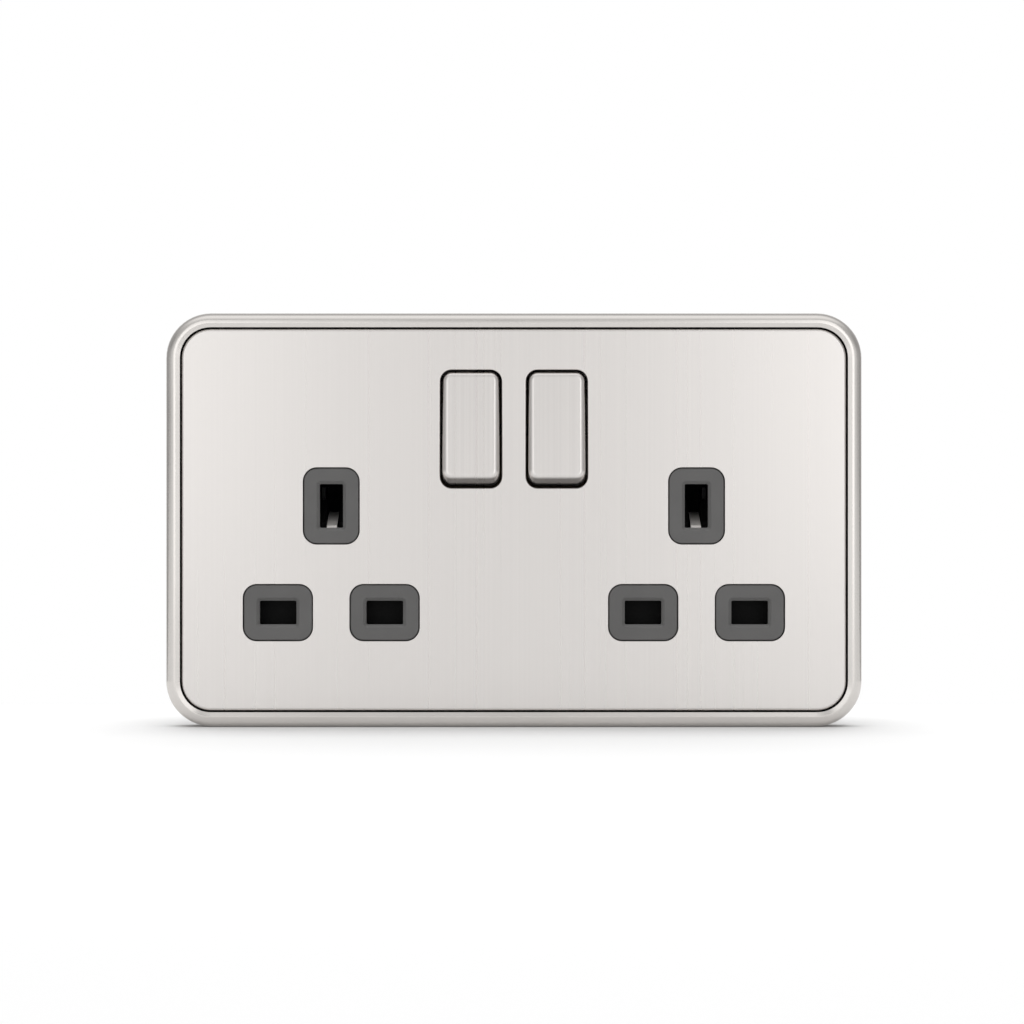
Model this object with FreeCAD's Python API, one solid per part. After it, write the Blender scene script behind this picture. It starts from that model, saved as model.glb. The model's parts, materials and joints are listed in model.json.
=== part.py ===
"""Twin switched socket outlet with a clip-on steel cover.

Millimetres. X points right and Z up as seen from the front, the front faces -Y and the wall is Y = 0.
The origin is the middle of the plate on the wall. "proud" is a distance in front of the wall.
"""
import FreeCAD, Part
import math
import os

V = FreeCAD.Vector
SIDES = {-1: "left", 1: "right"}

# Frame with its rim
plate_w = 145.0
plate_h = 86.1
plate_corner_r = 9.4
rim_w = 3.0
rim_proud = 7.6
rim_round = 2.05
rim_slope_w = 0.85
rim_slope_drop = 0.35
floor_t = 2.0
floor_band = 7.55
frame_open_r = 4.5

# Fixing to the wall box
fix_pitch = 120.6
fix_hole_r = 2.1
fix_head_room_r = 4.2

# Clip-on cover and its backing
cover_gap = 0.32
cover_proud = 7.2
cover_t = 1.0
cover_edge_r = 0.6
window_edge_r = 0.25
carrier_t = 1.0
carrier_fit = 0.1
carrier_skirt_t = 1.2
carrier_clear = 0.8
peg_r = 1.5
peg_fit = 0.05
peg_edge = 5.4
peg_end_gap = 0.4
peg_drop = 2.5

# Front moulding
skin_t = 2.0
skin_lap_x = 2.0
skin_room = 1.75
skin_corner_r = 6.0
frame_screw_r = 1.1
frame_screw_head_r = 1.8
frame_screw_in = 11.0
frame_cross_reach = 1.1
frame_cross_w = 0.5
frame_cross_depth = 0.45

# Sockets
socket_x = 38.0
row_from_bottom = 23.72
pin_pitch = 22.2
earth_hole_w = 4.85
earth_hole_h = 9.1
pole_hole_w = 7.65
pole_hole_h = 4.95
hole_corner_r = 0.3
hole_chamfer = 0.65
hole_chamfer_depth = 0.5
hole_edge_r = 0.15
insert_margin = 3.3
insert_corner_r = 2.75
insert_edge_r = 0.3
insert_gap = 0.2
insert_recess = 0.1
insert_lip = 1.8
insert_wall = 2.3

# Rocker switches
rocker_x = 8.93
rocker_from_top = 24.15
rocker_w = 11.8
rocker_reach = 6.6
rocker_end_r = 12.7
rocker_pivot_proud = 2.0
rocker_tilt = 6.0
rocker_corner_r = 1.9
rocker_edge_r = 1.15
rocker_side_gap = 0.525
rocker_end_gap = 0.315
rocker_inner_gap = 0.4
window_corner_r = 2.4
cap_t = 0.5
cap_skirt = 3.2
dolly_wall = 1.2
dolly_face = 1.5
dolly_back = 2.0
dolly_ear_h = 4.8
dolly_ear_back = 1.4
trunnion_r = 1.2
trunnion_len = 2.1
trunnion_fit = 0.05
trunnion_end_gap = 0.2
cheek_t = 1.6
cheek_h = 6.4
cheek_depth = 3.5
plunger_r = 1.45
plunger_fit = 0.05
plunger_tube_t = 0.6
plunger_tube_back = 5.5
plunger_head = 1.0
plunger_gap = 0.3
spring_t = 0.5
pole_offset = 2.8

# Rocking contact blades
blade_w = 3.2
blade_len = 18.0
blade_t = 1.0
blade_axis_y = 8.3
blade_tilt = 9.0
blade_rest_gap = 0.1
contact_r = 1.3
contact_t = 0.6
contact_from_axis = 7.5
contact_gap = 0.09
blade_pin_r = 0.5
blade_pin_len = 0.6

# Conductors, flat strips stacked behind each other
strip_t = 0.8
strip_w = 3.0
clip_layer_y = 11.2
bar_layer_y = 13.6
earth_back_gap = 0.4
clip_w = 6.0
clip_front_y = 1.0
clip_flare = 0.4
clip_flare_len = 1.2
jaw_gap = 4.2
earth_jaw_front_y = 7.5
earth_jaw_h = 8.0
earth_bar_w = 4.0
leaf_w = 2.1
leaf_t = 0.5
leaf_front_behind_lip = 0.3
leaf_start_drop = 4.6
leaf_crest_drop = 1.7
leaf_crest_y = 3.0
leaf_foot_drop = 4.5
knife_w = 2.4
knife_edge = 0.6
knife_root = 2.4
outer_strip_out = 6.27
outer_strip_drop = 4.9
inner_strip_in = 3.53
inner_strip_drop = 10.9
live_run_drop = 16.9
neutral_run_rise = 6.1

# Terminals
terminal_w = 6.5
terminal_h = 12.2
terminal_step = 8.0
terminal_gap = 0.75
terminal_front_y = 5.5
terminal_back_y = 14.5
terminal_edge_r = 0.8
cable_r = 2.2
cable_y = 9.0
cable_stop = 1.5
cable_entry_clear = 0.4
terminal_screw_r = 1.75
terminal_screw_rise = 6.2
terminal_screw_gap = 0.1
terminal_head_r = 2.3
terminal_head_t = 2.3
terminal_slot_w = 0.8
terminal_slot_depth = 0.9
driver_clear = 0.3

# Rear housing
tray_clear = 0.5
tray_wall = 1.8
tray_depth = 20.0
tray_corner_r = 4.0
tray_edge_r = 1.5
pillar_r = 2.9
post_r = 2.4
post_joint_y = 4.0
housing_screw_r = 1.25
housing_screw_clear = 0.25
housing_head_r = 2.3
housing_head_clear = 0.15
housing_head_t = 1.8
housing_sink = 3.2
housing_screw_skin = 1.5
housing_cross_reach = 1.5
housing_cross_w = 0.7
housing_cross_depth = 1.0
notch_half_w = 19.0
notch_bar_gap = 0.8
notch_gap = 0.33
groove_count = 5
groove_w = 3.6
groove_h = 42.0
groove_pitch = 5.4
groove_depth = 0.6
groove_corner_r = 1.2
pillar_corner_gap = 0.4
pillar_block_gap = 0.1
pillar_wall_bite = 0.1
block_post_r = 1.3
block_post_rise = 8.0
block_post_edge = 0.1

# Contact blocks and shutters
block_side_wall = 1.1
block_end_wall = 1.25
block_top_wall = 2.3
block_side_gap = 0.1
block_front_gap = 0.3
earth_tube_t = 0.8
earth_tube_end = 0.5
earth_tube_gap = 0.05
earth_slot_clear = 0.1
block_edge_r = 1.0
well_clear = 0.4
lid_edge = 1.2
lid_corner_r = 1.5
shutter_t = 1.5
shutter_gap = 0.3
shutter_travel = 5.5
shutter_cover = 0.55
shutter_stem_w = 7.2
ramp_w = 6.0
ramp_slot_w = 2.7
ramp_start_drop = 3.4
ramp_top_rise = 1.4
ramp_slot_drop = 4.3
shutter_spring_r = 0.9
shutter_spring_t = 0.35
spring_window_w = 2.8
spring_window_drop = 7.07
spring_len = 8.9
spring_post_h = 1.2
spring_post_w = 2.2

# Values that follow from the sizes above
cover_w = plate_w - 2 * (rim_w + cover_gap)
cover_h = plate_h - 2 * (rim_w + cover_gap)
cover_corner_r = plate_corner_r - rim_w - cover_gap
rocker_z = plate_h / 2 - rocker_from_top
row_z = row_from_bottom - plate_h / 2
earth_z = row_z + pin_pitch
cover_back = -cover_proud + cover_t
carrier_back = cover_back + carrier_t
skin_back = -floor_t
skin_front = skin_back - skin_t
block_half_w = pin_pitch / 2 + clip_w / 2 + well_clear + block_side_wall
frame_open_w = 2 * (socket_x + block_half_w + block_side_gap + tray_wall + tray_clear)
frame_open_h = plate_h - 2 * (rim_w + floor_band)
skin_w = frame_open_w + 2 * skin_lap_x
carrier_w = plate_w - 2 * (rim_w + carrier_fit)
carrier_h = plate_h - 2 * (rim_w + carrier_fit)
carrier_corner_r = plate_corner_r - rim_w - carrier_fit
skin_h = carrier_h - 2 * (carrier_skirt_t + skin_room)
frame_screw_x = frame_open_w / 2 - frame_screw_in
frame_screw_z = (frame_open_h + skin_h) / 4
tray_w = frame_open_w - 2 * tray_clear
tray_h = frame_open_h - 2 * tray_clear
tray_in_z = tray_h / 2 - tray_wall
tray_back_in = tray_depth - tray_wall
earth_layer_y = tray_back_in - strip_t - earth_back_gap
pillar_z = tray_in_z - pillar_r + pillar_wall_bite
pillar_top_x = tray_w / 2 - tray_wall - pillar_r - pillar_corner_gap
pillar_low_x = socket_x - block_half_w - pillar_r - pillar_block_gap
terminal_top_z = terminal_h - tray_in_z
terminal_screw_z = terminal_screw_rise - tray_in_z
terminal_out = pillar_low_x - pillar_r - terminal_w / 2 - terminal_gap
terminal_in = terminal_out - terminal_step
terminal_xs = {"neutral": -terminal_out, "earth_a": -terminal_in, "earth_b": terminal_in, "live": terminal_out}
insert_front = -cover_proud + insert_recess
lip_back = insert_front + insert_lip
pivot_y = -rocker_pivot_proud
window_w = rocker_w + 2 * rocker_side_gap
window_h = 2 * (math.sqrt(rocker_end_r ** 2 - (pivot_y - cover_back) ** 2) + rocker_end_gap)
inner_window_w = rocker_w + 2 * rocker_inner_gap
inner_window_h = 2 * (rocker_end_r + rocker_inner_gap)
shutter_front = skin_back + shutter_gap
shutter_back = shutter_front + shutter_t
block_front = shutter_back + block_front_gap
blade_fixed_z = rocker_z + contact_from_axis
blade_edge_z = contact_from_axis + contact_r
blade_swing = math.radians(blade_tilt)
contact_face_y = (blade_axis_y + blade_edge_z * math.sin(blade_swing)
                  + (blade_t / 2 + contact_t) * math.cos(blade_swing) + contact_gap)
knife_y = blade_axis_y + blade_t / 2 + blade_rest_gap
plunger_tip = blade_axis_y - blade_t / 2 - plunger_gap - pivot_y
peg_x = plate_w / 2 - rim_w - peg_edge
peg_z = frame_open_h / 2 - peg_drop
outer_strip_x = rocker_x + pole_offset + outer_strip_out
outer_strip_z = rocker_z - outer_strip_drop
inner_strip_x = rocker_x - pole_offset - inner_strip_in
inner_strip_z = rocker_z - inner_strip_drop
live_run_z = rocker_z - live_run_drop
neutral_run_z = rocker_z + neutral_run_rise
jaw_out = jaw_gap / 2 + strip_t
well_half_h = jaw_out + clip_flare + well_clear / 4
block_bottom_z = row_z - well_half_h - block_end_wall
earth_well_low = earth_z - ramp_slot_drop - shutter_travel
earth_well_high = earth_z + earth_jaw_h / 2 + 2 * well_clear
earth_well_back = earth_layer_y - strip_t - earth_tube_gap - earth_tube_end
block_top_z = earth_well_high + block_top_wall
lid_half_w = pin_pitch / 2 + pole_hole_w / 2 + insert_margin - insert_wall + lid_edge
lid_low = row_z - pole_hole_h / 2 - insert_margin + insert_wall - lid_edge
lid_high = earth_z + earth_hole_h / 2 + insert_margin - insert_wall + lid_edge
notch_low_z = earth_z + earth_bar_w / 2 + tray_wall + notch_gap
spring_window_top = earth_z - spring_window_drop
spring_post_z = spring_window_top - spring_len


def box(x0, x1, y0, y1, z0, z1):
    return Part.makeBox(x1 - x0, y1 - y0, z1 - z0, V(x0, y0, z0))


def rounded_wire(cx, cz, w, h, r, y):
    """Rounded rectangle facing the front, as a closed wire at depth y."""
    x0, x1, z0, z1 = cx - w / 2, cx + w / 2, cz - h / 2, cz + h / 2
    k = r * (1 - math.sqrt(0.5))
    edges = []
    corners = [(x1, z0, -1, 1), (x1, z1, -1, -1), (x0, z1, 1, -1), (x0, z0, 1, 1)]
    starts = []
    for n, (x, z, sx, sz) in enumerate(corners):
        along_x = V(x + sx * r, y, z)
        along_z = V(x, y, z + sz * r)
        mid = V(x + sx * k, y, z + sz * k)
        first, last = (along_x, along_z) if n % 2 == 0 else (along_z, along_x)
        starts.append((first, mid, last))
    for n, (first, mid, last) in enumerate(starts):
        edges.append(Part.Arc(first, mid, last).toShape())
        edges.append(Part.makeLine(last, starts[(n + 1) % 4][0]))
    return Part.Wire(edges)


def rounded(cx, cz, w, h, r, y0, y1):
    """Block with a rounded rectangular outline from depth y0 to y1."""
    return Part.Face(rounded_wire(cx, cz, w, h, r, y0)).extrude(V(0, y1 - y0, 0))


def tapered(cx, cz, front, back, y0, y1):
    """Block that goes from one rounded outline (w, h, r) at y0 to another at y1."""
    wires = [rounded_wire(cx, cz, *front, y0), rounded_wire(cx, cz, *back, y1)]
    return Part.makeLoft(wires, True, True)


def rod(x, y, z, r, length, axis):
    return Part.makeCylinder(r, length, V(x, y, z), axis)


def rod_y(x, z, r, y0, y1):
    return rod(x, y0, z, r, y1 - y0, V(0, 1, 0))


def profile_x(points, x0, x1):
    """Outline given as (y, z) points, extruded along X."""
    corners = [V(x0, y, z) for y, z in points]
    return Part.Face(Part.makePolygon(corners + corners[:1])).extrude(V(x1 - x0, 0, 0))


def edges_on(shape, y):
    box_of = [(e, e.BoundBox) for e in shape.Edges]
    return [e for e, b in box_of if abs(b.YMin - y) < 1e-3 and abs(b.YMax - y) < 1e-3]


def edges_within(shape, y, cx, cz, w, h):
    """Edges at depth y that stay inside a w by h rectangle about a point."""
    boxes = [(e, e.BoundBox) for e in edges_on(shape, y)]
    return [e for e, b in boxes if max(abs(b.XMin - cx), abs(b.XMax - cx)) < w / 2 + 1e-3
            and max(abs(b.ZMin - cz), abs(b.ZMax - cz)) < h / 2 + 1e-3]


def joined(first, *others):
    return first.fuse(list(others)).removeSplitter()


def strip(path, w, y, t):
    """Flat stamped strip along a path of (x, z) points, w wide, from depth y to y + t."""
    pieces = []
    for n in range(len(path) - 1):
        (xa, za), (xb, zb) = path[n], path[n + 1]
        grow_a = w / 2 if n > 0 else 0.0
        grow_b = w / 2 if n < len(path) - 2 else 0.0
        across_x = w / 2 if xa == xb else 0.0
        across_z = w / 2 if za == zb else 0.0
        length = math.hypot(xb - xa, zb - za)
        ux, uz = (xb - xa) / length, (zb - za) / length
        xs = sorted((xa - ux * grow_a, xb + ux * grow_b))
        zs = sorted((za - uz * grow_a, zb + uz * grow_b))
        pieces.append(box(xs[0] - across_x, xs[1] + across_x, y, y + t, zs[0] - across_z, zs[1] + across_z))
    return joined(pieces[0], *pieces[1:]) if len(pieces) > 1 else pieces[0]


def all_inserts():
    """Name, centre and aperture of each of the six pin holes."""
    for side, word in SIDES.items():
        yield f"{word}_earth", side * socket_x, earth_z, earth_hole_w, earth_hole_h
        yield f"{word}_neutral", side * socket_x - pin_pitch / 2, row_z, pole_hole_w, pole_hole_h
        yield f"{word}_live", side * socket_x + pin_pitch / 2, row_z, pole_hole_w, pole_hole_h


def insert_outline(cx, cz, w, h, grow, y0, y1):
    """Outline of a pin hole's surround, grown by a clearance or shrunk by a wall."""
    r = max(insert_corner_r + grow, 0.3)
    return rounded(cx, cz, w + 2 * (insert_margin + grow), h + 2 * (insert_margin + grow), r, y0, y1)


def frame_screw_places():
    return [(sx * frame_screw_x, sz * frame_screw_z) for sx in (-1, 1) for sz in (-1, 1)]


def housing_screw_places():
    return [(s * x, z) for s in (-1, 1) for x, z in ((pillar_top_x, pillar_z), (pillar_low_x, -pillar_z))]


def make_rim_frame():
    well = (plate_w - 2 * rim_w, plate_h - 2 * rim_w, plate_corner_r - rim_w)
    mouth = tuple(v + s * rim_slope_w for v, s in zip(well, (2, 2, 1)))
    rim = rounded(0, 0, plate_w, plate_h, plate_corner_r, -rim_proud, 0)
    rim = rim.makeFillet(rim_round, edges_on(rim, -rim_proud))
    rim = rim.cut(rounded(0, 0, *well, -rim_proud - 1, -floor_t))
    rim = rim.cut(tapered(0, 0, mouth, well, -rim_proud, -rim_proud + rim_slope_drop))
    rim = rim.cut(rounded(0, 0, frame_open_w, frame_open_h, frame_open_r, -floor_t - 1, 1))
    for s in (-1, 1):
        rim = rim.cut(rod_y(s * fix_pitch / 2, 0, fix_hole_r, -floor_t - 1, 1))
        for sz in (-1, 1):
            rim = rim.cut(rod_y(s * peg_x, sz * peg_z, peg_r + peg_fit, -floor_t - 1, 1))
    for x, z in frame_screw_places():
        rim = rim.cut(rod_y(x, z, frame_screw_r, -floor_t - 1, 1))
    return rim


def make_cover_plate():
    plate = rounded(0, 0, cover_w, cover_h, cover_corner_r, -cover_proud, cover_back)
    plate = plate.makeFillet(cover_edge_r, edges_on(plate, -cover_proud))
    for name, cx, cz, w, h in all_inserts():
        plate = plate.cut(insert_outline(cx, cz, w, h, insert_gap, -cover_proud - 1, cover_back + 1))
    for s in SIDES:
        hole = rounded(s * rocker_x, rocker_z, window_w, window_h, window_corner_r, -cover_proud - 1, cover_back + 1)
        plate = plate.cut(hole)
    for s in SIDES:
        plate = plate.makeFillet(window_edge_r, edges_within(plate, -cover_proud, s * rocker_x, rocker_z, window_w, window_h))
    return plate


def make_cover_carrier():
    w, h, r, t = carrier_w, carrier_h, carrier_corner_r, carrier_skirt_t
    carrier = rounded(0, 0, w, h, r, cover_back, skin_back)
    carrier = carrier.cut(rounded(0, 0, w - 2 * t, h - 2 * t, r - t, carrier_back, skin_back + 1))
    for name, cx, cz, hw, hh in all_inserts():
        carrier = carrier.cut(insert_outline(cx, cz, hw, hh, carrier_clear, cover_back - 1, carrier_back + 1))
    c = 2 * carrier_clear
    for s in SIDES:
        hole = rounded(s * rocker_x, rocker_z, window_w + c, window_h + c, window_corner_r, cover_back - 1, carrier_back + 1)
        carrier = carrier.cut(hole)
    pegs = [rod_y(sx * peg_x, sz * peg_z, peg_r, carrier_back, -peg_end_gap) for sx in (-1, 1) for sz in (-1, 1)]
    return joined(carrier, *pegs)


def make_front_moulding():
    skin = rounded(0, 0, skin_w, skin_h, skin_corner_r, skin_front, skin_back)
    for s in (-1, 1):
        skin = skin.cut(rod_y(s * fix_pitch / 2, 0, fix_head_room_r, skin_front - 1, skin_back + 1))
    posts = [rod_y(x, z, post_r, skin_back, post_joint_y) for x, z in housing_screw_places()]
    cheeks = []
    for s in SIDES:
        for e in (-1, 1):
            xa = s * rocker_x + e * inner_window_w / 2
            xb = xa + e * cheek_t
            za, zb = rocker_z - cheek_h / 2, rocker_z + cheek_h / 2
            cheeks.append(box(min(xa, xb), max(xa, xb), skin_back, skin_back + cheek_depth, za, zb))
    skin = joined(skin, *posts, *cheeks)
    for s in SIDES:
        hole = (inner_window_w, inner_window_h, window_corner_r)
        skin = skin.cut(rounded(s * rocker_x, rocker_z, *hole, skin_front - 1, skin_back + 1))
        reach = rocker_w / 2 - cap_t + trunnion_len + trunnion_end_gap
        r = trunnion_r + trunnion_fit
        skin = skin.cut(rod(s * rocker_x - reach, pivot_y, rocker_z, r, 2 * reach, V(1, 0, 0)))
        x0, x1 = s * rocker_x - reach, s * rocker_x + reach
        skin = skin.cut(box(x0, x1, pivot_y, skin_back + cheek_depth + 1, rocker_z - r, rocker_z + r))
        skin = skin.cut(lid_blank(s, skin_front - 1, skin_back + 1))
    for x, z in frame_screw_places():
        skin = skin.cut(make_frame_screw(x, z))
    for x, z in housing_screw_places():
        skin = skin.cut(rod_y(x, z, housing_screw_r, skin_front + housing_screw_skin, post_joint_y + 1))
    return skin


def lid_blank(side, y0, y1):
    middle = (lid_low + lid_high) / 2
    return rounded(side * socket_x, middle, 2 * lid_half_w, lid_high - lid_low, lid_corner_r, y0, y1)


def make_shutter_lid(side):
    """Plate pressed into the moulding in front of a shutter, open behind each of the three pin holes."""
    lid = lid_blank(side, skin_front, skin_back)
    for name, cx, cz, w, h in all_inserts():
        lid = lid.cut(insert_outline(cx, cz, w, h, -insert_wall, skin_front - 1, skin_back + 1))
    return lid


def cross_recess(x, z, reach, w, y0, y1):
    """Cross for a screwdriver, between two depths."""
    level = box(x - reach, x + reach, y0, y1, z - w / 2, z + w / 2)
    return joined(level, box(x - w / 2, x + w / 2, y0, y1, z - reach, z + reach))


def make_frame_screws():
    end = skin_front + frame_cross_depth
    return Part.makeCompound([
        make_frame_screw(x, z).cut(cross_recess(x, z, frame_cross_reach, frame_cross_w, skin_front - 1, end))
        for x, z in frame_screw_places()])


def make_frame_screw(x, z):
    sink = frame_screw_head_r - frame_screw_r
    head = Part.makeCone(frame_screw_head_r, frame_screw_r, sink, V(x, skin_front, z), V(0, 1, 0))
    return joined(head, rod_y(x, z, frame_screw_r, skin_front + sink, 0))


def make_insert(cx, cz, w, h):
    """Surround of one pin hole: a hollow block with a lip and a bevelled aperture."""
    block = insert_outline(cx, cz, w, h, 0, insert_front, skin_front)
    block = block.makeFillet(insert_edge_r, edges_on(block, insert_front))
    block = block.cut(insert_outline(cx, cz, w, h, -insert_wall, lip_back, skin_front + 1))
    block = block.cut(rounded(cx, cz, w, h, hole_corner_r, insert_front - 1, lip_back + 1))
    c = hole_chamfer
    outer = (w + 2 * c, h + 2 * c, hole_corner_r + c)
    block = block.cut(tapered(cx, cz, outer, (w, h, hole_corner_r), insert_front, insert_front + hole_chamfer_depth))
    return block.makeFillet(hole_edge_r, edges_within(block, insert_front, cx, cz, outer[0], outer[1]))


def rocker_form(half_w, reach, end_r, back, corner_r, edge_r):
    """Rocker outline about its pivot: flat front, ends that are arcs about the pivot."""
    zf = math.sqrt(end_r ** 2 - reach ** 2)
    zb = math.sqrt(end_r ** 2 - back ** 2)
    mid = (math.atan2(zf, reach) + math.atan2(zb, back)) / 2
    my, mz = end_r * math.cos(mid), end_r * math.sin(mid)
    x = -half_w
    lower = Part.Arc(V(x, -back, -zb), V(x, -my, -mz), V(x, -reach, -zf)).toShape()
    front = Part.makeLine(V(x, -reach, -zf), V(x, -reach, zf))
    upper = Part.Arc(V(x, -reach, zf), V(x, -my, mz), V(x, -back, zb)).toShape()
    rear = Part.makeLine(V(x, -back, zb), V(x, -back, -zb))
    form = Part.Face(Part.Wire([lower, front, upper, rear])).extrude(V(2 * half_w, 0, 0))
    curved = [e for e in form.Edges if e.Curve.TypeId == "Part::GeomCircle"]
    form = form.makeFillet(corner_r, curved)
    return form.makeFillet(edge_r, edges_on(form, -reach))


def set_rocker(shape, side):
    """Turns a piece made about the pivot to the OFF position and puts it in its place."""
    shape.rotate(V(0, 0, 0), V(1, 0, 0), -rocker_tilt)
    shape.translate(V(side * rocker_x, pivot_y, rocker_z))
    return shape


def inner_rocker(back):
    inner_edge = max(rocker_edge_r - cap_t, 0.1)
    sizes = (rocker_w / 2 - cap_t, rocker_reach - cap_t, rocker_end_r - cap_t)
    return rocker_form(*sizes, back, rocker_corner_r - cap_t, inner_edge)


def make_rocker_cap(side):
    back = rocker_reach - cap_skirt
    outer = rocker_form(rocker_w / 2, rocker_reach, rocker_end_r, back, rocker_corner_r, rocker_edge_r)
    return set_rocker(outer.cut(inner_rocker(back - 1)), side)


def make_rocker_dolly(side):
    half_w = rocker_w / 2 - cap_t
    front = -(rocker_reach - cap_t - dolly_face)
    pocket_z = math.sqrt((rocker_end_r - cap_t) ** 2 - front ** 2) - dolly_wall
    dolly = inner_rocker(dolly_back)
    dolly = dolly.cut(box(-half_w + dolly_wall, half_w - dolly_wall, front, 1, -pocket_z, pocket_z))
    bore_r = plunger_r + plunger_fit
    add = []
    for e in (-1, 1):
        add.append(rod_y(e * pole_offset, 0, bore_r + plunger_tube_t, front - 0.2, plunger_tube_back))
        xs = sorted((e * (half_w - dolly_wall), e * half_w))
        add.append(box(xs[0], xs[1], front, dolly_ear_back, -dolly_ear_h / 2, dolly_ear_h / 2))
        start = half_w if e > 0 else -half_w - trunnion_len
        add.append(rod(start, 0, 0, trunnion_r, trunnion_len, V(1, 0, 0)))
    dolly = joined(dolly, *add)
    for e in (-1, 1):
        dolly = dolly.cut(rod_y(e * pole_offset, 0, bore_r, front, plunger_tube_back + 1))
    return set_rocker(dolly, side)


def make_plungers(side):
    pair = []
    for e in (-1, 1):
        ball_y = plunger_tip - plunger_r
        body = rod_y(e * pole_offset, 0, plunger_r, -plunger_head, ball_y)
        ball = Part.makeSphere(plunger_r, V(e * pole_offset, ball_y, 0), V(0, 1, 0))
        pair.append(joined(body, ball))
    return set_rocker(Part.makeCompound(pair), side)


def make_plunger_springs(side):
    front = -(rocker_reach - cap_t - dolly_face)
    pair = []
    for e in (-1, 1):
        sleeve = rod_y(e * pole_offset, 0, plunger_r, front, -plunger_head)
        pair.append(sleeve.cut(rod_y(e * pole_offset, 0, plunger_r - spring_t, front - 1, 1)))
    return set_rocker(Part.makeCompound(pair), side)


def make_blade(x):
    """Rocking blade about its axis, with a contact rivet behind its upper end, tipped to OFF."""
    blade = box(-blade_w / 2, blade_w / 2, -blade_t / 2, blade_t / 2, -blade_len / 2, blade_len / 2)
    ends = [e for e in blade.Edges if abs(e.BoundBox.YLength - blade_t) < 1e-6]
    blade = blade.makeFillet(blade_w / 2 - 0.2, ends)
    rivet = rod_y(0, contact_from_axis, contact_r, blade_t / 2, blade_t / 2 + contact_t)
    half = blade_w / 2 + blade_pin_len
    blade = joined(blade, rivet, rod(-half, 0, 0, blade_pin_r, 2 * half, V(1, 0, 0)))
    blade.rotate(V(0, 0, 0), V(1, 0, 0), blade_tilt)
    blade.translate(V(x, blade_axis_y, rocker_z))
    return blade


def knife_post(x):
    """Post on a bar that ends in the edge on which a blade rocks."""
    half, root = knife_edge / 2, knife_root / 2
    shoulder = knife_y + root - half
    points = [(bar_layer_y, -root), (shoulder, -root), (knife_y, -half)]
    points += [(y, -z) for y, z in reversed(points)]
    return profile_x([(y, z + rocker_z) for y, z in points], x - knife_w / 2, x + knife_w / 2)


def pole_x(side, e):
    return side * rocker_x + e * pole_offset


def make_live_bar():
    x = terminal_xs["live"]
    near, far = pole_x(1, 1), pole_x(-1, 1)
    top = rocker_z + knife_root / 2
    runs = [
        strip([(x, terminal_top_z), (x, live_run_z), (far, live_run_z), (far, top)], strip_w, bar_layer_y, strip_t),
        strip([(near, live_run_z), (near, top)], strip_w, bar_layer_y, strip_t),
    ]
    return joined(*runs, knife_post(near), knife_post(far))


def make_neutral_bar():
    x = terminal_xs["neutral"]
    near, far = pole_x(-1, -1), pole_x(1, -1)
    low = rocker_z - knife_root / 2
    path = [(x, terminal_top_z), (x, neutral_run_z), (far, neutral_run_z), (far, low)]
    runs = [
        strip(path, strip_w, bar_layer_y, strip_t),
        strip([(near, neutral_run_z), (near, low)], strip_w, bar_layer_y, strip_t),
    ]
    return joined(*runs, knife_post(near), knife_post(far))


def make_clip(side, e):
    """Switched strip: fixed contact behind the blade, flat run, and the clip for one pin."""
    x = side * socket_x + e * pin_pitch / 2
    pole = pole_x(side, e)
    outer = side == e
    turn_x = side * (outer_strip_x if outer else inner_strip_x)
    turn_z = outer_strip_z if outer else inner_strip_z
    path = [(pole - math.copysign(strip_w / 2, turn_x - pole), blade_fixed_z), (turn_x, blade_fixed_z)]
    path += [(turn_x, turn_z), (x, turn_z), (x, row_z)]
    run = strip(path, strip_w, clip_layer_y, strip_t)
    rivet = rod_y(pole, blade_fixed_z, contact_r, contact_face_y, clip_layer_y)
    back = clip_layer_y + strip_t
    inner = jaw_gap / 2
    outer_z = inner + strip_t
    bend_y = clip_front_y + clip_flare_len
    half = [(back, outer_z), (bend_y, outer_z), (clip_front_y, outer_z + clip_flare)]
    half += [(clip_front_y, inner + clip_flare), (bend_y, inner), (clip_layer_y, inner)]
    points = half + [(y, -z) for y, z in reversed(half)]
    clip = profile_x([(y, z + row_z) for y, z in points], x - clip_w / 2, x + clip_w / 2)
    return joined(run, rivet, clip)


def make_earth_clip(side):
    """Earth pin clip: two jaws, base and the arched leaf under the pin."""
    cx = side * socket_x
    base_y = earth_layer_y - strip_t
    h = earth_jaw_h / 2
    inner = jaw_gap / 2
    outer = inner + strip_t
    clip = box(cx - outer, cx + outer, base_y, earth_layer_y, earth_z - leaf_foot_drop, earth_z + h)
    for e in (-1, 1):
        xs = sorted((cx + e * inner, cx + e * outer))
        clip = clip.fuse(box(xs[0], xs[1], earth_jaw_front_y, base_y, earth_z - h, earth_z + h))
    top = [(lip_back + leaf_front_behind_lip, -leaf_start_drop), (leaf_crest_y, -leaf_crest_drop)]
    top += [(base_y - 2 * strip_t, -leaf_foot_drop), (base_y, -leaf_foot_drop)]
    points = [(y, z + earth_z) for y, z in top] + [(y, z + earth_z + leaf_t) for y, z in reversed(top)]
    return joined(clip, profile_x(points, cx - leaf_w / 2, cx + leaf_w / 2))


def make_earth_bar():
    end = socket_x + jaw_gap / 2 + strip_t
    bar = strip([(-end, earth_z), (end, earth_z)], earth_bar_w, earth_layer_y, strip_t)
    back = earth_layer_y + strip_t
    foot = terminal_top_z + strip_t
    points = [(back, earth_z), (earth_layer_y, earth_z), (earth_layer_y, foot), (cable_y, foot)]
    points += [(cable_y, terminal_top_z), (back, terminal_top_z)]
    tongues = [profile_x(points, terminal_xs[n] - strip_w / 2, terminal_xs[n] + strip_w / 2)
               for n in ("earth_a", "earth_b")]
    return joined(bar, *tongues)


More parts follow.
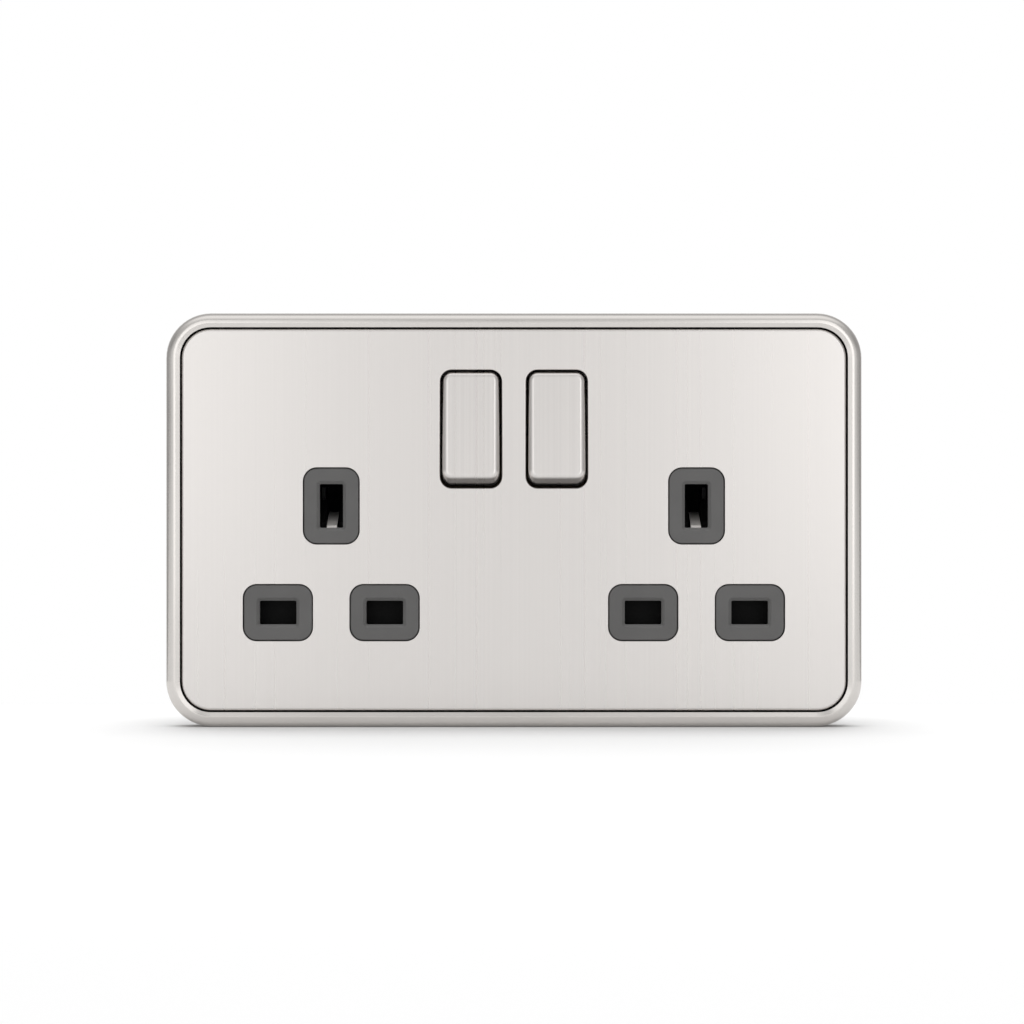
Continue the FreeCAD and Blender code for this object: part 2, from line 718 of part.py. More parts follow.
def make_terminal(x):
    w = terminal_w / 2
    block = box(x - w, x + w, terminal_front_y, terminal_back_y, -tray_in_z, terminal_top_z)
    upright = [e for e in block.Edges if abs(e.BoundBox.ZLength - (terminal_top_z + tray_in_z)) < 1e-6]
    block = block.makeFillet(terminal_edge_r, upright)
    deep = terminal_top_z - cable_stop + tray_in_z
    block = block.cut(rod(x, cable_y, -tray_in_z, cable_r, deep, V(0, 0, 1)))
    return block.cut(rod_y(x, terminal_screw_z, terminal_screw_r, cable_y, terminal_back_y + 1))


def make_terminal_screws():
    screws = []
    for x in terminal_xs.values():
        tip = cable_y + cable_r + terminal_screw_gap
        end = terminal_back_y + terminal_head_t
        shank = rod_y(x, terminal_screw_z, terminal_screw_r, tip, terminal_back_y)
        head = rod_y(x, terminal_screw_z, terminal_head_r, terminal_back_y, end)
        s = terminal_slot_w / 2
        slot = box(x - terminal_w, x + terminal_w, end - terminal_slot_depth, end + 1, terminal_screw_z - s, terminal_screw_z + s)
        screws.append(joined(shank, head).cut(slot))
    return Part.makeCompound(screws)


def make_rear_housing():
    tray = rounded(0, 0, tray_w, tray_h, tray_corner_r, skin_back, tray_depth)
    tray = tray.makeFillet(tray_edge_r, edges_on(tray, tray_depth))
    step_y = bar_layer_y + strip_t + notch_bar_gap + tray_wall
    tray = tray.cut(box(-notch_half_w, notch_half_w, step_y, tray_depth + 1, notch_low_z, tray_h))
    for s in SIDES:
        for n in range(groove_count):
            x = s * socket_x + (n - (groove_count - 1) / 2) * groove_pitch
            tray = tray.cut(rounded(x, 0, groove_w, groove_h, groove_corner_r, tray_depth - groove_depth, tray_depth + 1))
    room = (tray_w - 2 * tray_wall, tray_h - 2 * tray_wall, tray_corner_r - tray_wall)
    inner_half_w = notch_half_w + tray_wall
    inner_step = box(-inner_half_w, inner_half_w, step_y - tray_wall, tray_depth, notch_low_z - tray_wall, tray_h)
    tray = tray.cut(rounded(0, 0, *room, skin_back - 1, tray_back_in).cut(inner_step))
    add = [rod_y(x, z, pillar_r, post_joint_y, tray_back_in) for x, z in housing_screw_places()]
    for s in SIDES:
        for x, z in block_post_places(s):
            add.append(rod_y(x, z, block_post_r, clip_layer_y, tray_back_in))
    tray = joined(tray, *add)
    sink = tray_depth - housing_sink
    for x, z in housing_screw_places():
        tray = tray.cut(rod_y(x, z, housing_screw_r + housing_screw_clear, post_joint_y - 1, tray_depth))
        tray = tray.cut(rod_y(x, z, housing_head_r + housing_head_clear, sink, tray_depth + 1))
    for x in terminal_xs.values():
        tray = tray.cut(rod_y(x, terminal_screw_z, terminal_head_r + driver_clear, tray_back_in - 1, tray_depth + 1))
        entry_r = cable_r + cable_entry_clear
        tray = tray.cut(rod(x, cable_y, -tray_h / 2 - 1, entry_r, tray_wall + 1, V(0, 0, 1)))
    return tray


def block_post_places(side):
    x = block_half_w - block_post_r - block_post_edge
    return [(side * socket_x + e * x, z) for e in (-1, 1) for z in (row_z + block_post_rise, row_z - jaw_gap)]


def make_housing_screws():
    screws = []
    for x, z in housing_screw_places():
        sink = tray_depth - housing_sink
        shank = rod_y(x, z, housing_screw_r, skin_front + housing_screw_skin, sink)
        end = sink + housing_head_t
        screw = joined(shank, rod_y(x, z, housing_head_r, sink, end))
        screws.append(screw.cut(cross_recess(x, z, housing_cross_reach, housing_cross_w, end - housing_cross_depth, end + 1)))
    return Part.makeCompound(screws)


def make_contact_block(side):
    cx = side * socket_x
    block = box(cx - block_half_w, cx + block_half_w, block_front, clip_layer_y, block_bottom_z, block_top_z)
    upright = [e for e in block.Edges if abs(e.BoundBox.YLength - (clip_layer_y - block_front)) < 1e-6]
    block = block.makeFillet(block_edge_r, upright)
    half = jaw_out + well_clear
    wall = earth_tube_t
    back = earth_well_back + earth_tube_end
    tube = box(cx - half - wall, cx + half + wall, clip_layer_y, back, earth_well_low - wall, earth_well_high + wall)
    block = joined(block, tube)
    wx = clip_w / 2 + well_clear
    for e in (-1, 1):
        x = cx + e * pin_pitch / 2
        block = block.cut(box(x - wx, x + wx, block_front - 1, clip_layer_y + 1, row_z - well_half_h, row_z + well_half_h))
    block = block.cut(box(cx - half, cx + half, block_front - 1, earth_well_back, earth_well_low, earth_well_high))
    c = earth_slot_clear
    h = earth_jaw_h / 2 + c
    for e in (-1, 1):
        xs = sorted((cx + e * (jaw_gap / 2 - c), cx + e * (jaw_out + c)))
        block = block.cut(box(xs[0], xs[1], earth_well_back - 1, back + 1, earth_z - h, earth_z + h))
    foot = earth_z - leaf_foot_drop
    w = leaf_w / 2 + c
    block = block.cut(box(cx - w, cx + w, earth_well_back - 1, back + 1, foot - c, foot + leaf_t + c))
    stop = box(cx - spring_post_w / 2, cx + spring_post_w / 2, shutter_front, block_front,
               spring_post_z - spring_post_h, spring_post_z)
    return joined(block, stop)


def make_shutter(side):
    """Bar over the live and neutral holes, stem with a spring window, and a forked ramp for the earth pin."""
    cx = side * socket_x
    half_h = pole_hole_h / 2 + shutter_cover
    half_w = pin_pitch / 2 + pole_hole_w / 2 + shutter_cover / 2
    low = earth_z - ramp_start_drop
    bar = box(cx - half_w, cx + half_w, shutter_front, shutter_back, row_z - half_h, row_z + half_h)
    stem = box(cx - shutter_stem_w / 2, cx + shutter_stem_w / 2, shutter_front, shutter_back, row_z, low)
    top = earth_z + ramp_top_rise
    rise = top - low
    points = [(shutter_front, low - 1), (shutter_front, low), (shutter_front + rise, top)]
    points += [(shutter_front + rise + shutter_t, top), (shutter_back, low), (shutter_back, low - 1)]
    ramp = profile_x(points, cx - ramp_w / 2, cx + ramp_w / 2)
    shutter = joined(bar, stem, ramp)
    far = shutter_back + rise + shutter_t
    s = ramp_slot_w / 2
    shutter = shutter.cut(box(cx - s, cx + s, shutter_front - 1, far, earth_z - ramp_slot_drop - leaf_t, top + 1))
    w = spring_window_w / 2
    foot = spring_post_z - spring_post_h - shutter_gap
    return shutter.cut(box(cx - w, cx + w, shutter_front - 1, shutter_back + 1, foot, spring_window_top))


def make_shutter_spring(side):
    cx = side * socket_x
    y = (shutter_front + shutter_back) / 2
    length = spring_window_top - spring_post_z
    tube = rod(cx, y, spring_post_z, shutter_spring_r, length, V(0, 0, 1))
    return tube.cut(rod(cx, y, spring_post_z - 1, shutter_spring_r - shutter_spring_t, length + 2, V(0, 0, 1)))


def main():
    nodes = {
        "rim_frame": make_rim_frame(),
        "cover_plate": make_cover_plate(),
        "cover_carrier": make_cover_carrier(),
        "front_moulding": make_front_moulding(),
        "frame_screws": make_frame_screws(),
        "rear_housing": make_rear_housing(),
        "housing_screws": make_housing_screws(),
        "live_bar": make_live_bar(),
        "neutral_bar": make_neutral_bar(),
        "earth_bar": make_earth_bar(),
        "terminal_screws": make_terminal_screws(),
    }
    for name, cx, cz, w, h in all_inserts():
        nodes["socket_insert_" + name] = make_insert(cx, cz, w, h)
    for name, x in terminal_xs.items():
        nodes["terminal_" + name] = make_terminal(x)
    for side, word in SIDES.items():
        nodes["rocker_cap_" + word] = make_rocker_cap(side)
        nodes["rocker_dolly_" + word] = make_rocker_dolly(side)
        nodes["plungers_" + word] = make_plungers(side)
        nodes["plunger_springs_" + word] = make_plunger_springs(side)
        nodes["shutter_lid_" + word] = make_shutter_lid(side)
        nodes["contact_block_" + word] = make_contact_block(side)
        nodes["shutter_" + word] = make_shutter(side)
        nodes["shutter_spring_" + word] = make_shutter_spring(side)
        nodes["earth_clip_" + word] = make_earth_clip(side)
        for e, pole in ((-1, "neutral"), (1, "live")):
            nodes[f"clip_{word}_{pole}"] = make_clip(side, e)
            nodes[f"blade_{word}_{pole}"] = make_blade(pole_x(side, e))
    os.makedirs("parts", exist_ok=True)
    for name, shape in nodes.items():
        shape.exportStep(f"parts/{name}.step")


main()
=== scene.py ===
import json
import math

import bmesh
import bpy
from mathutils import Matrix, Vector


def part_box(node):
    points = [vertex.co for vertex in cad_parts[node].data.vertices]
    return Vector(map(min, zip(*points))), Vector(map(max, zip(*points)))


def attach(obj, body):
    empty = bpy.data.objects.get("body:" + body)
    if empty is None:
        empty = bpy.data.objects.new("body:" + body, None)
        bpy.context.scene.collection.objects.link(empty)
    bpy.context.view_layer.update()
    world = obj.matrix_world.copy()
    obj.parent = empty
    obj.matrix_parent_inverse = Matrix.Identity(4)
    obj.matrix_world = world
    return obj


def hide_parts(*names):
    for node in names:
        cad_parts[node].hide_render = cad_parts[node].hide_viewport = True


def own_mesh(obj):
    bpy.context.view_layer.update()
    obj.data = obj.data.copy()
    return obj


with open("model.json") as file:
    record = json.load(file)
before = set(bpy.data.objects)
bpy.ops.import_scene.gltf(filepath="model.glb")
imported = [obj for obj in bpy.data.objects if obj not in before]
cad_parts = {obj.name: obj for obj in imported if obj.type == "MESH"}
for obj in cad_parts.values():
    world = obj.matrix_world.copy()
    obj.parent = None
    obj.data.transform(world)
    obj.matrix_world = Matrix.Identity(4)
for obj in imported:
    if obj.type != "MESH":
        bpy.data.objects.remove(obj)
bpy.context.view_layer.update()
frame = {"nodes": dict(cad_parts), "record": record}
nodes = frame["nodes"]
rim_low, rim_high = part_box("rim_frame")


# Shader helpers

def feed(tree, socket, value):
    """Links another node's output to an input, or sets the input to a plain value."""
    if isinstance(value, bpy.types.NodeSocket):
        tree.links.new(value, socket)
    else:
        socket.default_value = value


def add_node(tree, kind, inputs=None):
    """New shader node, with what feeds its inputs by their names or numbers."""
    node = tree.nodes.new(kind)
    for key, value in (inputs or {}).items():
        feed(tree, node.inputs[key], value)
    return node


def combine(tree, operation, *values):
    """Math node on sockets and plain numbers."""
    node = add_node(tree, "ShaderNodeMath", dict(enumerate(values)))
    node.operation = operation
    return node.outputs["Value"]


def between(tree, value, low, high, start=0.0, end=1.0):
    """Number that runs from start to end while the value runs from low to high."""
    limits = {"From Min": low, "From Max": high, "To Min": start, "To Max": end}
    return add_node(tree, "ShaderNodeMapRange", {"Value": value, **limits}).outputs["Result"]


def axes(tree, kind):
    """X, Y and Z of one kind of texture coordinates."""
    coords = add_node(tree, "ShaderNodeTexCoord")
    return add_node(tree, "ShaderNodeSeparateXYZ", {"Vector": coords.outputs[kind]}).outputs


def opaque(colour):
    return (*colour, 1.0)


def scaled(colour, factor):
    return tuple(min(c * factor, 1.0) for c in colour)


def colour_ramp(tree, value, stops):
    """Colour that runs through (position, colour) stops while the value runs from 0 to 1."""
    node = add_node(tree, "ShaderNodeValToRGB", {"Fac": value})
    elements = node.color_ramp.elements
    while len(elements) < len(stops):
        elements.new(0.5)
    for element, (position, colour) in zip(elements, stops):
        element.position = position
        element.color = opaque(colour)
    return node.outputs["Color"]


def mix_shaders(tree, factor, first, second):
    return add_node(tree, "ShaderNodeMixShader", {"Fac": factor, 1: first, 2: second}).outputs["Shader"]


def mirrored_rays(tree, path):
    """One for rays that come from a reflection or through glass."""
    return combine(tree, "MAXIMUM", path["Is Glossy Ray"], path["Is Transmission Ray"])


# Materials

# Nearly all of a noise lies between these levels
NOISE_LOW, NOISE_HIGH = 0.3, 0.7
METAL_RELIEF_DEPTH = 0.00001
PLASTIC_RELIEF_DEPTH = 0.00002
PLASTIC_RELIEF = 0.08
# Noise cells to a metre
DRIFT_SCALE = 60.0
CLOUD_SCALE = 160.0
TIN_SCALE = 900.0


def new_material(name, colour, metallic, roughness):
    mat = bpy.data.materials.new(name)
    mat.use_nodes = True
    shader = mat.node_tree.nodes["Principled BSDF"]
    shader.inputs["Base Color"].default_value = opaque(colour)
    shader.inputs["Metallic"].default_value = metallic
    shader.inputs["Roughness"].default_value = roughness
    return mat, mat.node_tree, shader.inputs


def noise(tree, scale):
    """Noise in the part's own metres, with its own scale along each axis."""
    coords = add_node(tree, "ShaderNodeTexCoord")
    mapping = add_node(tree, "ShaderNodeMapping", {"Vector": coords.outputs["Object"], "Scale": scale})
    settings = {"Vector": mapping.outputs["Vector"], "Scale": 1.0, "Detail": 2.0}
    return add_node(tree, "ShaderNodeTexNoise", settings).outputs["Fac"]


def even_noise(tree, scale):
    return noise(tree, (scale, scale, scale))


def vary(tree, source, low, high):
    """Number between two values that follows a noise."""
    return between(tree, source, NOISE_LOW, NOISE_HIGH, low, high)


def tint(tree, source, colour, spread):
    """Colour that follows a noise, a little darker and lighter than the one given."""
    dark, light = scaled(colour, 1.0 - spread), scaled(colour, 1.0 + spread)
    return colour_ramp(tree, source, [(NOISE_LOW, dark), (NOISE_HIGH, light)])


def bump(tree, source, strength, depth):
    relief = {"Height": source, "Strength": strength, "Distance": depth}
    return add_node(tree, "ShaderNodeBump", relief).outputs["Normal"]


def brushed(name, colour, grain, rough, relief, spread=0.02):
    """Metal with a fine grain: colour, gloss and relief all follow the same streaks."""
    mat, tree, inputs = new_material(name, colour, 1.0, sum(rough) / 2)
    streaks = noise(tree, grain)
    feed(tree, inputs["Base Color"], tint(tree, streaks, colour, spread))
    feed(tree, inputs["Roughness"], vary(tree, streaks, *rough))
    feed(tree, inputs["Normal"], bump(tree, streaks, relief, METAL_RELIEF_DEPTH))
    return mat


def satin(name, colour, rough, spread=0.015):
    """Smooth metal whose gloss drifts slowly along it."""
    mat, tree, inputs = new_material(name, colour, 1.0, sum(rough) / 2)
    drift = even_noise(tree, DRIFT_SCALE)
    feed(tree, inputs["Base Color"], tint(tree, drift, colour, spread))
    feed(tree, inputs["Roughness"], vary(tree, drift, *rough))
    return mat


def moulded(name, colour, rough, grain=2600.0, shine=0.5, spread=0.04):
    """Moulded plastic with a fine spark-eroded grain."""
    mat, tree, inputs = new_material(name, colour, 0.0, sum(rough) / 2)
    inputs["Specular IOR Level"].default_value = shine
    grains = even_noise(tree, grain)
    feed(tree, inputs["Base Color"], tint(tree, even_noise(tree, CLOUD_SCALE), colour, spread))
    feed(tree, inputs["Roughness"], vary(tree, grains, *rough))
    feed(tree, inputs["Normal"], bump(tree, grains, PLASTIC_RELIEF, PLASTIC_RELIEF_DEPTH))
    return mat


def tinned(name, bright, dark, front, deep):
    """Dull tinned leaf, bright at the mouth and painted darker deeper in the hole: painted shade."""
    mat, tree, inputs = new_material(name, bright, 0.35, 0.5)
    depth = between(tree, axes(tree, "Object")["Y"], front, deep)
    feed(tree, inputs["Base Color"], colour_ramp(tree, depth, [(0.0, bright), (1.0, dark)]))
    feed(tree, inputs["Roughness"], vary(tree, even_noise(tree, TIN_SCALE), 0.42, 0.56))
    return mat


def paint_shade_below(mat, colour, start, end):
    """Darkens the flank that faces down, picked by its normal: painted shade."""
    tree = mat.node_tree
    base = tree.nodes["Principled BSDF"].inputs["Base Color"]
    flank = between(tree, axes(tree, "Normal")["Z"], start, end)
    colours = {"Color1": base.links[0].from_socket, "Color2": opaque(colour)}
    blend = add_node(tree, "ShaderNodeMixRGB", {"Fac": flank, **colours})
    feed(tree, base, blend.outputs["Color"])
    return mat


STEEL = (0.732, 0.704, 0.682)
RIM_STEEL = (0.72, 0.691, 0.663)
ZINC = (0.62, 0.62, 0.62)
SPRING_WIRE = (0.50, 0.485, 0.47)
BRASS = (0.50, 0.40, 0.26)
# Brass darkened for the contacts deep in the socket, so the holes look dark: painted shade
SHADED_BRASS = (0.14, 0.11, 0.075)
TIN = (0.80, 0.765, 0.735)
# Near black that the earth leaf runs to deeper in the hole: painted shade
HOLE_SHADE = (0.012, 0.012, 0.012)
GREY = (0.114, 0.112, 0.110)
BLACK = (0.004, 0.004, 0.004)
OFF_WHITE = (0.62, 0.62, 0.60)

# Grain in noise cells to a metre along X, Y and Z: the streaks run the way that has few
COVER_GRAIN = (2000.0, 20.0, 2.0)
ROCKER_GRAIN = (2000.0, 20.0, 3.0)
SCREW_GRAIN = (900.0, 900.0, 900.0)
WIRE_GRAIN = (2000.0, 400.0, 400.0)
STRIP_GRAIN = (1800.0, 1800.0, 200.0)

looks = {
    "cover_steel": brushed("cover_steel_look", STEEL, COVER_GRAIN, (0.27, 0.31), 0.01, spread=0.012),
    "rim_steel": satin("rim_steel_look", RIM_STEEL, (0.20, 0.24)),
    "grey_plastic": moulded("grey_plastic_look", GREY, (0.34, 0.42)),
    "black_plastic": moulded("black_plastic_look", BLACK, (0.55, 0.65), shine=0.12),
    "white_plastic": moulded("white_plastic_look", OFF_WHITE, (0.4, 0.5), grain=1400.0, spread=0.012),
    "screw_steel": brushed("screw_steel_look", ZINC, SCREW_GRAIN, (0.24, 0.32), 0.015),
    "spring_steel": brushed("spring_steel_look", SPRING_WIRE, WIRE_GRAIN, (0.38, 0.46), 0.05),
    "contact_brass": brushed("contact_brass_look", BRASS, STRIP_GRAIN, (0.26, 0.38), 0.05),
}

# Looks of their own, by how a node's name starts
rocker_steel = brushed("rocker_steel_look", STEEL, ROCKER_GRAIN, (0.27, 0.31), 0.012, spread=0.03)
own_looks = {
    # Rocker caps: the flank that faces down is painted darker, painted shade
    "rocker_cap_": paint_shade_below(rocker_steel, scaled(STEEL, 0.38), start=-0.4, end=-0.8),
    # Contact clips: the darker copy of the brass is painted shade
    "clip_": brushed("shaded_brass_look", SHADED_BRASS, STRIP_GRAIN, (0.4, 0.5), 0.05),
    # Earth leaf: darker deeper in the hole, painted shade
    "earth_clip_": tinned("earth_leaf_look", TIN, HOLE_SHADE, front=-0.0025, deep=0.0035),
}
slot_of = {s["node"]: s["material_slot"] for s in frame["record"]["subparts"]}
for name, obj in nodes.items():
    own = [look for start, look in own_looks.items() if name.startswith(start)]
    obj.data.materials.clear()
    obj.data.materials.append(own[0] if own else looks[slot_of[name]])


# Wound springs in place of the plain sleeves

STEPS_A_TURN = 24
WIRE_SIDES = 8
# Rise of the closed end turns, in wire diameters
CLOSED_PITCH = 1.03


def add_coil(bm, start, along, length, outer_r, wire_d, turns):
    """Compression spring with one closed turn at each end, wound from start along a unit direction."""
    side = along.orthogonal().normalized()
    other = along.cross(side)
    wire_r = wire_d / 2
    closed = wire_d * CLOSED_PITCH
    pitch = (length - wire_d - 2 * closed) / (turns - 2)
    count = int(turns * STEPS_A_TURN) + 1
    line = []
    for i in range(count):
        t = i / STEPS_A_TURN
        rise = closed * min(t, 1.0)
        rise += pitch * min(max(t - 1.0, 0.0), turns - 2)
        rise += closed * max(t - turns + 1, 0.0)
        out = side * math.cos(math.tau * t) + other * math.sin(math.tau * t)
        line.append((start + along * (wire_r + rise) + out * (outer_r - wire_r), out))
    round_wire = [math.tau * k / WIRE_SIDES for k in range(WIRE_SIDES)]
    rings = []
    for i, (point, out) in enumerate(line):
        ahead = (line[min(i + 1, count - 1)][0] - line[max(i - 1, 0)][0]).normalized()
        up = ahead.cross(out).normalized()
        spokes = [(out * math.cos(a) + up * math.sin(a)) * wire_r for a in round_wire]
        rings.append([bm.verts.new(point + spoke) for spoke in spokes])
    for a, b in zip(rings, rings[1:]):
        for k in range(WIRE_SIDES):
            n = (k + 1) % WIRE_SIDES
            bm.faces.new((a[k], a[n], b[n], b[k]))
    bm.faces.new(rings[0])
    bm.faces.new(rings[-1])


def finish_springs(name, bm, body, node):
    """Makes a piece of the coils, which rides on a body in place of a node."""
    bmesh.ops.recalc_face_normals(bm, faces=bm.faces)
    mesh = bpy.data.meshes.new(name)
    bm.to_mesh(mesh)
    bm.free()
    mesh.polygons.foreach_set("use_smooth", [len(p.vertices) == 4 for p in mesh.polygons])
    mesh.materials.append(looks["spring_steel"])
    obj = bpy.data.objects.new(name, mesh)
    bpy.context.scene.collection.objects.link(obj)
    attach(obj, body)
    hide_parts(node)
    return obj


ROCKER_TILT = math.radians(6.0)
PLUNGER_SPRING_R = 0.00145
PLUNGER_WIRE = 0.0005
PLUNGER_TURNS = 5.0
SHUTTER_WIRE = 0.00035
SHUTTER_TURNS = 8.0
END_PLAY = 0.00002
Z_AXIS = Vector((0.0, 0.0, 1.0))


def add_plunger_springs(word):
    """Two springs behind the plungers of a rocker, tilted with it."""
    low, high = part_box("plunger_springs_" + word)
    middle = (low + high) / 2
    along = Vector((0.0, math.cos(ROCKER_TILT), -math.sin(ROCKER_TILT)))
    depth = high.y - low.y - 2 * PLUNGER_SPRING_R * math.sin(ROCKER_TILT)
    length = depth / math.cos(ROCKER_TILT) - 2 * END_PLAY
    bm = bmesh.new()
    for x in (low.x + PLUNGER_SPRING_R, high.x - PLUNGER_SPRING_R):
        start = Vector((x, middle.y, middle.z)) - along * length / 2
        add_coil(bm, start, along, length, PLUNGER_SPRING_R, PLUNGER_WIRE, PLUNGER_TURNS)
    finish_springs("plunger_coils_" + word, bm, "rocker_" + word, "plunger_springs_" + word)


def add_shutter_spring(word):
    """One upright spring under a shutter, riding on the base."""
    low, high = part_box("shutter_spring_" + word)
    foot = Vector(((low.x + high.x) / 2, (low.y + high.y) / 2, low.z + END_PLAY))
    length = high.z - low.z - 2 * END_PLAY
    bm = bmesh.new()
    add_coil(bm, foot, Z_AXIS, length, (high.x - low.x) / 2, SHUTTER_WIRE, SHUTTER_TURNS)
    spring = finish_springs("shutter_coil_" + word, bm, "base", "shutter_spring_" + word)
    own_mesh(spring)


for word in ("left", "right"):
    add_plunger_springs(word)
    add_shutter_spring(word)


# World: white behind the object, and a soft studio around its front

# Light by direction, as (X of the direction, level) to either side and (Z of the direction, level)
LEVELS_ACROSS = [(0.0, 0.81), (0.4, 0.81), (0.6, 0.74), (0.75, 0.68), (0.86, 0.5), (1.0, 0.38)]
LEVELS_UPWARD = [
    (-1.0, 0.7), (-0.2, 0.85), (-0.05, 0.95), (0.03, 1.2), (0.12, 1.42), (0.19, 1.44),
    (0.29, 1.02), (0.4, 0.92), (0.65, 0.95), (0.8, 1.45), (0.9, 1.65), (1.0, 1.8),
]
BRIGHTEST = 1.9
WHITE = (1.0, 1.0, 1.0)
BEHIND, BEHIND_ABOVE = 0.45, 0.65
# Y of the direction where the studio gives way to the light behind, and where reflections meet the white
STUDIO_ENDS = (-0.15, 0.35)
BACKDROP_STARTS = (0.55, 0.95)


def graded(tree, value, points, low):
    """Level through (place, level) points, where places run from low to 1, as a share of the brightest."""
    stops = [((place - low) / (1.0 - low), scaled(WHITE, level / BRIGHTEST)) for place, level in points]
    return colour_ramp(tree, between(tree, value, low, 1.0), stops)


def make_world():
    world = bpy.data.worlds.new("studio")
    world.use_nodes = True
    tree = world.node_tree
    tree.nodes.clear()
    path = add_node(tree, "ShaderNodeLightPath").outputs
    direction = axes(tree, "Generated")

    across = graded(tree, combine(tree, "ABSOLUTE", direction["X"]), LEVELS_ACROSS, 0.0)
    upward = graded(tree, direction["Z"], LEVELS_UPWARD, -1.0)
    studio = combine(tree, "MULTIPLY", combine(tree, "MULTIPLY", across, upward), BRIGHTEST * BRIGHTEST)
    behind = between(tree, direction["Z"], 0.0, 1.0, BEHIND, BEHIND_ABOVE)
    turned = between(tree, direction["Y"], *STUDIO_ENDS)
    level = add_node(tree, "ShaderNodeMix", {"Factor": turned, "A": studio, "B": behind}).outputs["Result"]
    lit = add_node(tree, "ShaderNodeBackground", {"Strength": level}).outputs["Background"]

    plain = {"Color": opaque(WHITE), "Strength": 1.0}
    seen = add_node(tree, "ShaderNodeBackground", plain).outputs["Background"]
    facing_back = between(tree, direction["Y"], *BACKDROP_STARTS)
    backdrop = combine(tree, "MULTIPLY", mirrored_rays(tree, path), facing_back)
    shown = combine(tree, "MAXIMUM", path["Is Camera Ray"], backdrop)
    add_node(tree, "ShaderNodeOutputWorld", {"Surface": mix_shaders(tree, shown, lit, seen)})
    return world


bpy.context.scene.world = make_world()


# Floor: white, under the rim, with the object's shadow

FLOOR_GAP = 0.0001
FLOOR_SIDE, FLOOR_FRONT, FLOOR_BACK = 4.0, 3.0, 0.06
FLOOR_WHITE = (0.6, 0.6, 0.6)
# Added white: none in the closest shadow, most in the open, and what reflections get of it
SHADOW_REACH = 0.03
SHADOW_TO_OPEN = (0.42, 1.0)
LIFT = 0.26
LIFT_MIRRORED = 0.14
# Distance from the middle over which the floor turns plain white
PLAIN_WHITE = (0.28, 0.5)


def floor_material():
    mat, tree, _ = new_material("floor_white", FLOOR_WHITE, 0.0, 0.9)
    shader = tree.nodes["Principled BSDF"].outputs["BSDF"]
    path = add_node(tree, "ShaderNodeLightPath").outputs
    camera_rays = path["Is Camera Ray"]
    mirrored = mirrored_rays(tree, path)

    nearby = add_node(tree, "ShaderNodeAmbientOcclusion", {"Distance": SHADOW_REACH})
    lift = between(tree, nearby.outputs["AO"], *SHADOW_TO_OPEN, 0.0, LIFT)
    direct = combine(tree, "MULTIPLY", camera_rays, lift)
    added = combine(tree, "MAXIMUM", direct, combine(tree, "MULTIPLY", mirrored, LIFT_MIRRORED))
    glow = add_node(tree, "ShaderNodeEmission", {"Strength": added}).outputs["Emission"]
    near = add_node(tree, "ShaderNodeAddShader", {0: shader, 1: glow}).outputs["Shader"]

    # Far from the object the floor is plain white, up to its edge, and in reflections too
    coords = add_node(tree, "ShaderNodeTexCoord")
    reach = add_node(tree, "ShaderNodeVectorMath", {0: coords.outputs["Object"]})
    reach.operation = "LENGTH"
    far = between(tree, reach.outputs["Value"], *PLAIN_WHITE)
    shown = combine(tree, "MAXIMUM", camera_rays, mirrored)
    white = add_node(tree, "ShaderNodeEmission").outputs["Emission"]
    above = mix_shaders(tree, combine(tree, "MULTIPLY", shown, far), near, white)

    # From below the floor is see-through, so that the underside can be looked at
    geometry = add_node(tree, "ShaderNodeNewGeometry")
    below = combine(tree, "MULTIPLY", geometry.outputs["Backfacing"], camera_rays)
    clear = add_node(tree, "ShaderNodeBsdfTransparent").outputs["BSDF"]
    feed(tree, tree.nodes["Material Output"].inputs["Surface"], mix_shaders(tree, below, above, clear))
    return mat


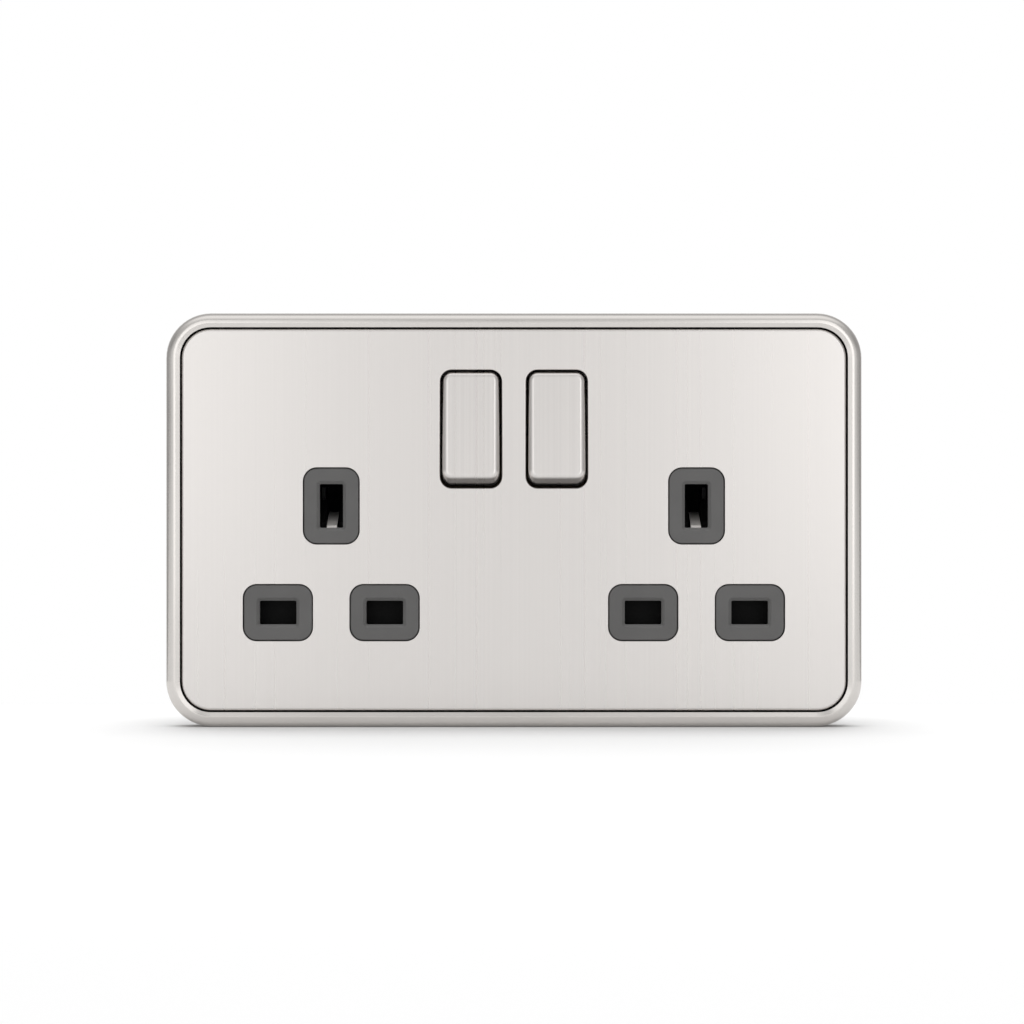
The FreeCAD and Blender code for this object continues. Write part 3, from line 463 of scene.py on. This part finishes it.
floor_z = rim_low.z - FLOOR_GAP
corners = [
    (-FLOOR_SIDE, -FLOOR_FRONT, floor_z), (FLOOR_SIDE, -FLOOR_FRONT, floor_z),
    (FLOOR_SIDE, FLOOR_BACK, floor_z), (-FLOOR_SIDE, FLOOR_BACK, floor_z),
]
floor_mesh = bpy.data.meshes.new("floor")
floor_mesh.from_pydata(corners, [], [(0, 1, 2, 3)])
floor_mesh.materials.append(floor_material())
floor = bpy.data.objects.new("floor", floor_mesh)
bpy.context.scene.collection.objects.link(floor)


# Lamps

def softbox(name, place, aim, size, power, mirrored=True):
    """Flat lamp that faces a point; reflections show it only if it is mirrored."""
    light = bpy.data.lights.new(name, "AREA")
    light.shape = "RECTANGLE"
    light.size, light.size_y = size
    light.energy = power
    obj = bpy.data.objects.new(name, light)
    obj.location = place
    obj.rotation_euler = (Vector(aim) - Vector(place)).to_track_quat("-Z", "Y").to_euler()
    obj.visible_glossy = mirrored
    bpy.context.scene.collection.objects.link(obj)


softbox("top_light", (0.0, 0.18, 0.7), (0, 0, 0), size=(1.2, 0.8), power=6.0, mirrored=False)
softbox("back_light", (0.0, 0.6, 0.25), (0, 0, 0), size=(0.8, 0.6), power=1.0, mirrored=False)
softbox("left_light", (-0.23, -0.60, 0.12), (-0.02, 0, 0), size=(0.26, 0.6), power=0.29)
softbox("right_light", (0.23, -0.60, 0.14), (0.02, 0, 0), size=(0.26, 0.6), power=0.35)


# Camera: straight on, at the photograph's scale and place in the frame

FRAME_PX = 1024
PLATE_PX = 695.4
CENTRE_PX = (513.9, 519.7)
LENS = 100.0
SENSOR = 36.0
CLIP_START = 0.01
# Y of the rim's widest outline, which PLATE_PX measures
OUTLINE_Y = -0.0058

pixel = (rim_high.x - rim_low.x) / PLATE_PX
distance = pixel * FRAME_PX * LENS / SENSOR
right_px, down_px = (place - FRAME_PX // 2 for place in CENTRE_PX)
cam = bpy.data.cameras.new("camera")
cam.lens = LENS
cam.sensor_width = SENSOR
cam.clip_start = CLIP_START
camera = bpy.data.objects.new("camera", cam)
camera.location = (-right_px * pixel, OUTLINE_Y - distance, down_px * pixel)
camera.rotation_euler = (math.pi / 2, 0, 0)
bpy.context.scene.collection.objects.link(camera)
bpy.context.scene.camera = camera
bpy.context.scene.view_settings.view_transform = "Standard"
